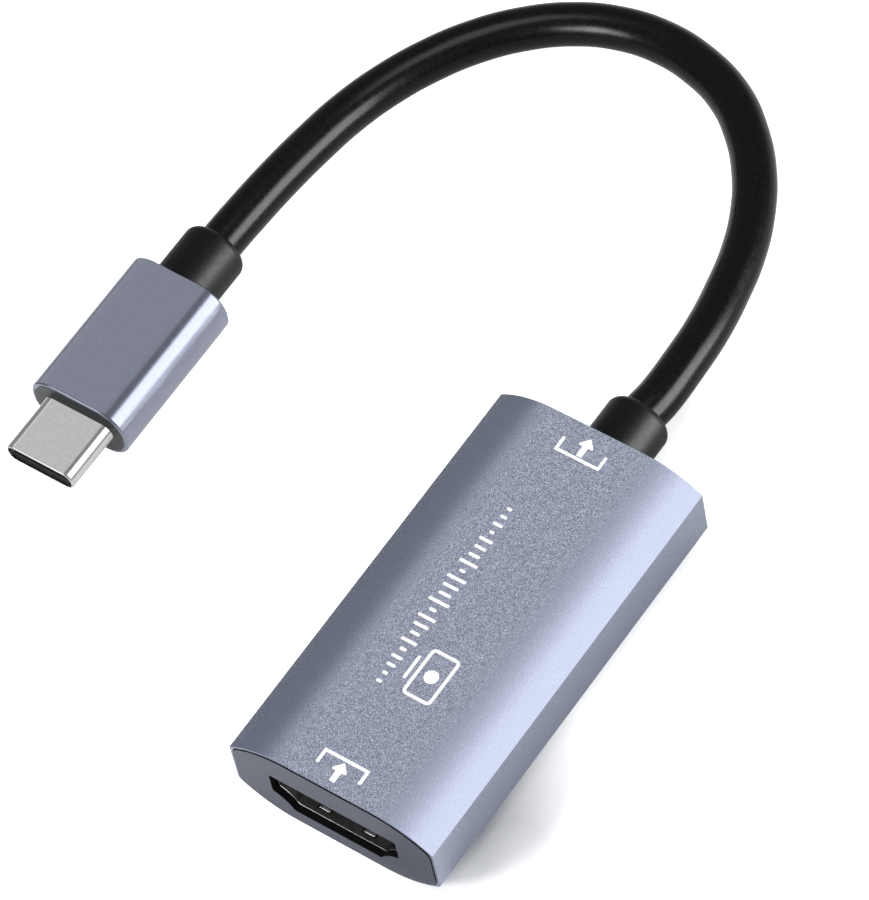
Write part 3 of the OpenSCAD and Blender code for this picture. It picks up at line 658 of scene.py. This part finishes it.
def grained(name, dark, light, grain, gloss, height, detail=3.0, **constants):
    """A finish whose colour, gloss and height waver together; grain and height are in millimetres."""
    material = bpy.data.materials.new(name)
    material.use_nodes = True
    tree = material.node_tree
    shader = tree.nodes["Principled BSDF"]
    place = tree.nodes.new("ShaderNodeTexCoord")
    noise = add_node(tree, "ShaderNodeTexNoise", Scale=1 / (grain * MM), Detail=detail, Roughness=0.6)
    tree.links.new(place.outputs["Object"], noise.inputs["Vector"])
    tint = tree.nodes.new("ShaderNodeValToRGB")
    tint.name = "tint"
    stops = zip(tint.color_ramp.elements, (GRAIN_LOW, GRAIN_HIGH), (dark, light))
    for stop, position, colour in stops:
        stop.position = position
        stop.color = (*colour, 1)
    tree.links.new(noise.outputs["Fac"], tint.inputs["Fac"])
    tree.links.new(tint.outputs["Color"], shader.inputs["Base Color"])
    span = {"From Min": GRAIN_LOW, "From Max": GRAIN_HIGH, "To Min": gloss[0], "To Max": gloss[1]}
    dull = add_node(tree, "ShaderNodeMapRange", **span)
    tree.links.new(noise.outputs["Fac"], dull.inputs["Value"])
    tree.links.new(dull.outputs["Result"], shader.inputs["Roughness"])
    relief = add_node(tree, "ShaderNodeBump", Strength=1.0, Distance=height * MM)
    tree.links.new(noise.outputs["Fac"], relief.inputs["Height"])
    tree.links.new(relief.outputs["Normal"], shader.inputs["Normal"])
    for socket, value in constants.items():
        shader.inputs[socket.replace("_", " ")].default_value = value
    print("finish", name, "with a grain of", grain, "mm")
    return material


def dress(material, *pieces):
    """Gives pieces, or solids of the frame by name, one finish all over."""
    for item in pieces:
        target = nodes[item] if isinstance(item, str) else item
        target.data.materials.clear()
        target.data.materials.append(material)


print("a finish wavers between", GRAIN_LOW, "and", GRAIN_HIGH, "of its noise")

# %% [markdown]
# ## Metal finishes
#
# The shell is blasted with fine beads and dyed a blue grey. Its grain is its own, but the glitter
# on the flat strip is painted: three stronger tints, the brightest of them painted glints, are mixed
# into the colour where the metal lies level, while the shoulders keep one weak pair of tints under
# their broad sheen. The plug's housing is dyed the same, but its skin is only satin, so its streak
# is narrow. The steel mouth is bright nickel. The socket's folded sheet lies in the dark and shows
# little but its rolled edges. Its steel and the fingers' steel are coloured nearly black, as painted
# shade for the inside of the socket. The frame's corners are split, so they are welded, then
# bevelled, and even normals keep the flats flat. The short edges round a finger's root are welded
# away first, because they would hold the bevel back.

# %% Aluminium and steel
blasted = grained(
    "blasted_blue_grey", (0.27, 0.295, 0.384), (0.345, 0.371, 0.466), 0.11, (0.24, 0.34), 0.014,
    detail=1.0, Metallic=1.0,
)
satin = grained(
    "satin_blue_grey", (0.22, 0.233, 0.293), (0.235, 0.247, 0.307), 0.5, (0.19, 0.23), 0.0002,
    Metallic=1.0,
)
nickel = grained(
    "bright_nickel", (0.48, 0.48, 0.476), (0.53, 0.53, 0.526), 0.4, (0.1, 0.16), 0.0004, Metallic=1.0
)
# The socket's sheet is coloured nearly black, darker than bare steel: painted shade for the dark inside
# of the socket.
socket_metal_painted_shade = grained(
    "socket_sheet", (0.11, 0.11, 0.113), (0.14, 0.14, 0.14), 0.6, (0.3, 0.36), 0.0003, Metallic=1.0
)
# The fingers' near-black colour, also used on the plug's latches, is painted shade as well.
spring_steel_painted_shade = grained(
    "spring_strip_painted_shade", (0.055, 0.055, 0.054), (0.07, 0.07, 0.068), 0.6, (0.25, 0.32), 0.0003,
    Metallic=1.0,
)
gold = grained(
    "gold_flash", (0.78, 0.55, 0.22), (0.86, 0.65, 0.3), 0.2, (0.2, 0.3), 0.0005, Metallic=1.0
)
can_metal = grained(
    "crystal_can", (0.62, 0.6, 0.55), (0.7, 0.68, 0.62), 0.3, (0.25, 0.35), 0.001, Metallic=1.0
)
dress(blasted, shell)
dress(satin, housing)
dress(nickel, steel)
dress(socket_metal_painted_shade, "socket_shell")
corners = [f"{tier}_{side}" for tier in ("upper", "lower") for side in ("left", "right")]
springs = ["socket_spring_" + corner for corner in corners]
dress(spring_steel_painted_shade, *springs, "plug_latch_left", "plug_latch_right")
dress(gold, "socket_contacts", "plug_contacts_upper", "plug_contacts_lower")
dress(can_metal, "crystal")

# %% Rolled edges of the socket's sheet and fingers
JOIN_BELOW, FINGER_JOIN = 0.005, 0.11
ROLLED_EDGE, FINGER_EDGE = 0.1, 0.08
SHARP_EDGE = math.radians(60)
for name in ("socket_shell", *springs):
    joined = nodes[name].modifiers.new("joined_corners", "WELD")
    joined.merge_threshold = (FINGER_JOIN if name in springs else JOIN_BELOW) * MM
    rolled = nodes[name].modifiers.new("rolled_edges", "BEVEL")
    rolled.width = (FINGER_EDGE if name in springs else ROLLED_EDGE) * MM
    rolled.use_clamp_overlap = name not in springs
    rolled.segments = 2
    rolled.limit_method = "ANGLE"
    rolled.angle_limit = SHARP_EDGE
    evened = nodes[name].modifiers.new("even_normals", "WEIGHTED_NORMAL")
    evened.weight = 100
print("rolled the edges of the socket's sheet and", len(springs), "fingers")

# %% Painted glints on the flats of the shell
PAINTED_GLINT = 0.07
FLAT_FROM = 0.975
# Painted glints: bright and dark specks in the colour, mixed in only where the shell lies level, stand in
# for the light that glitters off its grain there.
PAINTED_GLINT_TINTS = [
    (0.3, (0.16, 0.175, 0.225)),
    (0.52, (0.275, 0.298, 0.379)),
    (0.72, (0.6, 0.635, 0.745)),
]
tree = blasted.node_tree
painted_glint_noise = add_node(tree, "ShaderNodeTexNoise", Scale=1 / (PAINTED_GLINT * MM), Detail=0.0)
painted_glints = tree.nodes.new("ShaderNodeValToRGB")
painted_glints.color_ramp.elements.new(0.5)
for stop, (position, colour) in zip(painted_glints.color_ramp.elements, PAINTED_GLINT_TINTS):
    stop.position = position
    stop.color = (*colour, 1)
place = tree.nodes.new("ShaderNodeTexCoord")
facing = tree.nodes.new("ShaderNodeSeparateXYZ")
upright = tree.nodes.new("ShaderNodeMath")
upright.operation = "ABSOLUTE"
flatness = add_node(tree, "ShaderNodeMapRange", **{"From Min": FLAT_FROM, "From Max": 1.0})
blend = tree.nodes.new("ShaderNodeMix")
blend.data_type = "RGBA"
tree.links.new(place.outputs["Normal"], facing.inputs["Vector"])
tree.links.new(facing.outputs["Z"], upright.inputs[0])
tree.links.new(upright.outputs["Value"], flatness.inputs["Value"])
tree.links.new(place.outputs["Object"], painted_glint_noise.inputs["Vector"])
tree.links.new(painted_glint_noise.outputs["Fac"], painted_glints.inputs["Fac"])
tree.links.new(flatness.outputs["Result"], blend.inputs["Factor"])
tree.links.new(tree.nodes["tint"].outputs["Color"], blend.inputs["A"])
tree.links.new(painted_glints.outputs["Color"], blend.inputs["B"])
tree.links.new(blend.outputs["Result"], tree.nodes["Principled BSDF"].inputs["Base Color"])
print("glints of", PAINTED_GLINT, "mm where the shell is flat")

# %% Rubber, plastic and paint
sprayed = grained(
    "sprayed_grey", (0.09, 0.095, 0.126), (0.108, 0.113, 0.148), 0.25, (0.42, 0.52), 0.002,
    Metallic=0.8,
)
black_plastic = grained(
    "black_moulding", (0.008, 0.008, 0.009), (0.016, 0.016, 0.018), 0.3, (0.35, 0.5), 0.003
)
rubber = grained(
    "relief_rubber", (0.001, 0.001, 0.001), (0.002, 0.002, 0.002), 0.35, (0.42, 0.5), 0.002,
    Specular_IOR_Level=0.19,
)
jacket = grained(
    "cable_jacket", (0.0015, 0.0015, 0.0015), (0.003, 0.003, 0.003), 0.45, (0.22, 0.3), 0.002,
    Specular_IOR_Level=0.12,
)
bare_edge = grained(
    "bare_edge", (0.003, 0.003, 0.0035), (0.006, 0.006, 0.0065), 0.3, (0.4, 0.5), 0.002,
    Specular_IOR_Level=0.15,
)
for plate in (front_plate, rear_plate):
    plate.data.materials.append(sprayed)
    plate.data.materials.append(bare_edge)
dress(black_plastic, "socket_insulator", "plug_core", "plug_insulator")
dress(rubber, box_relief, plug_relief)
dress(jacket, cable, "box_cable_end", "plug_cable_end")

# %% Inside the box and the plug
board_green = grained(
    "board_mask", (0.008, 0.06, 0.03), (0.014, 0.09, 0.045), 0.6, (0.25, 0.4), 0.004
)
resin = grained(
    "chip_resin", (0.012, 0.012, 0.013), (0.022, 0.022, 0.024), 0.2, (0.5, 0.65), 0.004
)
ferrite = grained(
    "ferrite_block", (0.035, 0.035, 0.038), (0.06, 0.06, 0.062), 0.15, (0.55, 0.7), 0.006
)
ceramic = grained(
    "capacitor_ceramic", (0.3, 0.2, 0.12), (0.4, 0.28, 0.17), 0.2, (0.4, 0.55), 0.003
)
film = grained(
    "resistor_film", (0.015, 0.015, 0.016), (0.03, 0.03, 0.032), 0.2, (0.3, 0.45), 0.003
)
wire_cover = grained(
    "wire_cover", (0.35, 0.03, 0.03), (0.45, 0.05, 0.045), 0.4, (0.35, 0.5), 0.003
)
dress(board_green, "main_board", "plug_board")
dress(resin, "capture_chip", "memory_chip", "regulator")
dress(ferrite, "power_inductor")
dress(ceramic, "capacitors")
dress(film, "resistors", "plug_board_parts")
dress(wire_cover, "box_wires", "plug_wires")

# %% White ink
white_ink = grained("white_ink", (0.74, 0.74, 0.76), (0.84, 0.84, 0.86), 0.3, (0.45, 0.6), 0.002)
dress(white_ink, marks)

# %% [markdown]
# ## The studio
#
# The object lies on a white sheet. Paper under soft light would turn grey near the object, so the
# sheet also glows a little, for the camera alone, and the glow fades out at the box's front corner.
# There the shadow stays, as it does in the picture. A painted backdrop could be white as well, but it
# would not catch a shadow. The sheet ends just left of the plug, where the picture shows no light
# from below on the metal.

# %% Floor
FLOOR_SIDE = 3.0
FLOOR_LEFT = -66
FLOOR_DROP = 0.02
floor_mesh = bpy.data.meshes.new("white_sheet")
floor_bm = bmesh.new()
bmesh.ops.create_grid(floor_bm, x_segments=4, y_segments=4, size=FLOOR_SIDE / 2)
floor_bm.to_mesh(floor_mesh)
floor_bm.free()
floor = bpy.data.objects.new("white_sheet", floor_mesh)
scene.collection.objects.link(floor)
floor.location = (FLOOR_LEFT * MM + FLOOR_SIDE / 2, 0, -FLOOR_DROP * MM)
paper = grained("white_paper", (0.86, 0.86, 0.86), (0.88, 0.88, 0.88), 2.0, (0.8, 0.9), 0.01)
dress(paper, floor)
print("floor of", FLOOR_SIDE, "m")

# %% Glow of the sheet
GLOW = 0.65
SHADE = mm(14, -15, 0)
SHADE_NEAR, SHADE_FAR = 3 * MM, 16 * MM
tree = paper.node_tree
spot = tree.nodes.new("ShaderNodeNewGeometry")
reach = tree.nodes.new("ShaderNodeVectorMath")
reach.operation = "DISTANCE"
reach.inputs[1].default_value = SHADE
fade = {"From Min": SHADE_NEAR, "From Max": SHADE_FAR, "To Min": 0.0, "To Max": GLOW}
lift = add_node(tree, "ShaderNodeMapRange", **fade)
seen = tree.nodes.new("ShaderNodeLightPath")
gate = tree.nodes.new("ShaderNodeMath")
gate.operation = "MULTIPLY"
glow = add_node(tree, "ShaderNodeEmission", Color=(1, 1, 1, 1))
both = tree.nodes.new("ShaderNodeAddShader")
tree.links.new(spot.outputs["Position"], reach.inputs[0])
tree.links.new(reach.outputs["Value"], lift.inputs["Value"])
tree.links.new(lift.outputs["Result"], gate.inputs[0])
tree.links.new(seen.outputs["Is Camera Ray"], gate.inputs[1])
tree.links.new(gate.outputs["Value"], glow.inputs["Strength"])
tree.links.new(tree.nodes["Principled BSDF"].outputs[0], both.inputs[0])
tree.links.new(glow.outputs[0], both.inputs[1])
tree.links.new(both.outputs[0], tree.nodes["Material Output"].inputs["Surface"])
print("the sheet glows by", GLOW)

# %% [markdown]
# ## Grey cards
#
# White paper shows up in metal wherever the metal leans towards it. Photographers lay or stand grey
# cards beside a product, so that some edges stay dark. A darker sheet would do that too, but the
# picture needs its white. One card stands left of the box and darkens the far edge of the shell,
# one lies in front of the socket's right end. Both are seen in mirrors only.

# %% Grey cards
CARD_X, CARD_Z = -27, -FLOOR_DROP / 2
LEFT_CARD = [(-45, 0), (35, 0), (35, 8), (-45, 8)]
FRONT_CARD = [(3, -40), (16, -40), (16, -24), (3, -24)]
card_grey = grained("grey_card", (0.53, 0.53, 0.535), (0.57, 0.57, 0.575), 2.0, (0.8, 0.9), 0.01)


def grey_card(name, corners):
    """A flat card with the given corners, which the camera itself doesn't see."""
    bm = bmesh.new()
    bm.faces.new([bm.verts.new(mm(*corner)) for corner in corners])
    mesh = bpy.data.meshes.new(name)
    bm.to_mesh(mesh)
    bm.free()
    stood = bpy.data.objects.new(name, mesh)
    scene.collection.objects.link(stood)
    stood.visible_camera = False
    stood.visible_diffuse = False
    stood.visible_shadow = False
    dress(card_grey, stood)
    print("grey card", name, "with", len(corners), "corners")


grey_card("left_card", [(CARD_X, y, z) for y, z in LEFT_CARD])
grey_card("front_card", [(x, y, CARD_Z) for x, y in FRONT_CARD])

# %% [markdown]
# ## Panels and flags
#
# A small product is lit piece by piece: soft panels stand round the table, and black flags shade
# them, so that each piece mirrors its own panel. A single large light would be simpler, but the flat
# strip, the shoulders, the plug and the cable would then not get their own tones. A panel is an area
# light here, and its flags are a collection of the pieces that it may reach. All long pieces lie
# along one line, so what a strip of metal mirrors depends on one angle only, and the panels are
# placed by that angle. Most of them are only mirrored and light nothing else. The plug's steel stays
# bright up to its root, so the housing and the black core behind it are kept out of reflections.

# %% Helpers for panels
PANEL_AWAY = 0.7
ALONG, AROUND = 0.39, 0.92


def panel(name, about, toward, width, height, brightness):
    """A soft panel that faces a point of the object; its brightness is what a mirror would show of it."""
    light = bpy.data.lights.new(name, "AREA")
    light.shape = "RECTANGLE"
    light.size = width
    light.size_y = height
    light.energy = brightness * math.pi * width * height
    lamp = bpy.data.objects.new(name, light)
    scene.collection.objects.link(lamp)
    way = Vector(toward).normalized()
    across = Vector((way.z, 0, -way.x)).normalized()
    turn = Matrix((across, way.cross(across), way)).transposed()
    lamp.location = mm(*about) + way * PANEL_AWAY
    lamp.rotation_mode = "QUATERNION"
    lamp.rotation_quaternion = turn.to_quaternion()
    print("panel", name, "of", width, "x", height, "m")
    return lamp


def flag(lamp, pieces, state="INCLUDE"):
    """Lets a panel light only some pieces, or all but them, as flags in a studio would."""
    group = bpy.data.collections.new(lamp.name + "_flags")
    for item in pieces:
        group.objects.link(item)
    for entry in group.collection_objects:
        entry.light_linking.link_state = state
    lamp.light_linking.receiver_collection = group


def shade_by(lamp, name, pieces):
    """Lets only some pieces throw a shadow in a panel's light."""
    casters = bpy.data.collections.new(name)
    for item in pieces:
        casters.objects.link(item)
    lamp.light_linking.blocker_collection = casters


def round_the_box(turn):
    """The way that the box's length mirrors to the camera, turned about the length by some degrees."""
    lean = math.radians(turn)
    return (AROUND * math.sin(lean), ALONG, AROUND * math.cos(lean))


print("panels stand", PANEL_AWAY, "m away")

# %% Panels of the box
BOX_TOP = (0, 0, 8)
SOCKET_MOUTH = (0, -22, 4.5)
WARM = (1, 0.98, 0.98)
overhead = panel("overhead_panel", BOX_TOP, round_the_box(-18), 0.67, 0.8, 0.58)
flag(overhead, (housing, steel, cable, box_relief, plug_relief), "EXCLUDE")
bridge = panel("bridge_panel", BOX_TOP, round_the_box(19), 0.25, 0.5, 1.1)
right = panel("right_panel", BOX_TOP, round_the_box(62), 0.91, 0.5, 2.02)
for lamp in (bridge, right):
    lamp.data.color = WARM
    flag(lamp, (shell, front_plate, rear_plate, marks))
sheet_card = panel("socket_card", SOCKET_MOUTH, (0.2, -0.62, 0.68), 1.1, 0.45, 16.0)
flag(sheet_card, [nodes[name] for name in ("socket_shell", *springs)])
spring_card = panel("spring_card", SOCKET_MOUTH, (-0.4, -0.83, 0.4), 0.5, 0.3, 50.0)
flag(spring_card, [nodes[name] for name in springs])

# %% Panels of the plug
PLUG_TOP = (plug_x, 5, 5)
plug_fill = panel("plug_fill", PLUG_TOP, round_the_box(-44), 1.73, 0.8, 0.5)
plug_streak = panel("plug_streak", PLUG_TOP, round_the_box(63), 0.55, 0.36, 3.7)
plug_tail = panel("plug_tail", PLUG_TOP, round_the_box(91), 0.3, 0.4, 1.25)
plug_tail.data.cycles.use_multiple_importance_sampling = False
plug_card = panel("plug_card", PLUG_TOP, (-0.4, -0.78, 0.42), 0.3, 0.4, 2.5)
for lamp in (plug_fill, plug_streak, plug_tail):
    flag(lamp, [housing])
flag(plug_card, (housing, steel))
shade_by(plug_tail, "tail_casters", [housing])
steel_fill = panel("steel_fill", PLUG_TOP, round_the_box(-25), 0.22, 0.8, 0.52)
steel_edge = panel("steel_edge", PLUG_TOP, round_the_box(-40), 0.14, 0.8, 0.9)
steel_streak = panel("steel_streak", PLUG_TOP, round_the_box(55), 0.82, 0.3, 2.4)
for lamp in (steel_fill, steel_edge, steel_streak):
    flag(lamp, [steel])
for item in (housing, nodes["plug_core"]):
    item.visible_glossy = False

# %% Panels of the cord
LOOP = (-30, 45, 3)
cord_streak = panel("cord_streak", LOOP, round_the_box(77), 0.65, 0.46, 22.0)
flag(cord_streak, (cable, box_relief, plug_relief))
cord_front = panel("cord_front", LOOP, (0.13, -0.86, 0.47), 0.28, 0.28, 34.0)
cord_top = panel("cord_top", LOOP, (0.06, 0.1, 0.99), 0.36, 0.3, 5.8)
for lamp in (cord_front, cord_top):
    flag(lamp, [cable])
mirrored_only = [bridge, right, sheet_card, spring_card]
mirrored_only += [plug_fill, plug_streak, plug_tail, plug_card]
mirrored_only += [steel_fill, steel_edge, steel_streak, cord_streak, cord_front, cord_top]
for lamp in mirrored_only:
    lamp.visible_diffuse = False

# %% [markdown]
# ## Light on the sheet and in the room
#
# Two panels light the sheet and are not mirrored: one from above for an even white, and a small one
# from the front left, whose shadow falls to the right of the box. The small one is shaded by the box
# alone, because the thin cable's shadow would only blur. The room beyond is dim and a little blue,
# which gives the metal its cool darks, while the camera sees a white backdrop.

# %% Light on the sheet
sheet_light = panel("sheet_panel", LOOP, (0, 0, 1), 0.85, 0.85, 1.45)
shadow_light = panel("shadow_panel", BOX_TOP, (-0.4, -0.75, 0.55), 0.2, 0.2, 30.0)
for lamp in (sheet_light, shadow_light):
    lamp.visible_glossy = False
shade_by(shadow_light, "shadow_casters", (shell, front_plate, rear_plate))

# %% Room
ROOM = 0.46
ROOM_TINT = (0.93, 0.96, 1, 1)
world = bpy.data.worlds.new("dim_room")
scene.world = world
world.use_nodes = True
tree = world.node_tree
room = tree.nodes["Background"]
room.inputs["Color"].default_value = ROOM_TINT
room.inputs["Strength"].default_value = ROOM
backdrop = add_node(tree, "ShaderNodeBackground", Color=(1, 1, 1, 1), Strength=1.0)
seen = tree.nodes.new("ShaderNodeLightPath")
either = tree.nodes.new("ShaderNodeMixShader")
tree.links.new(seen.outputs["Is Camera Ray"], either.inputs[0])
tree.links.new(room.outputs[0], either.inputs[1])
tree.links.new(backdrop.outputs[0], either.inputs[2])
tree.links.new(either.outputs[0], tree.nodes["World Output"].inputs["Surface"])
scene.view_settings.view_transform = "Standard"
print("the room has a brightness of", ROOM)
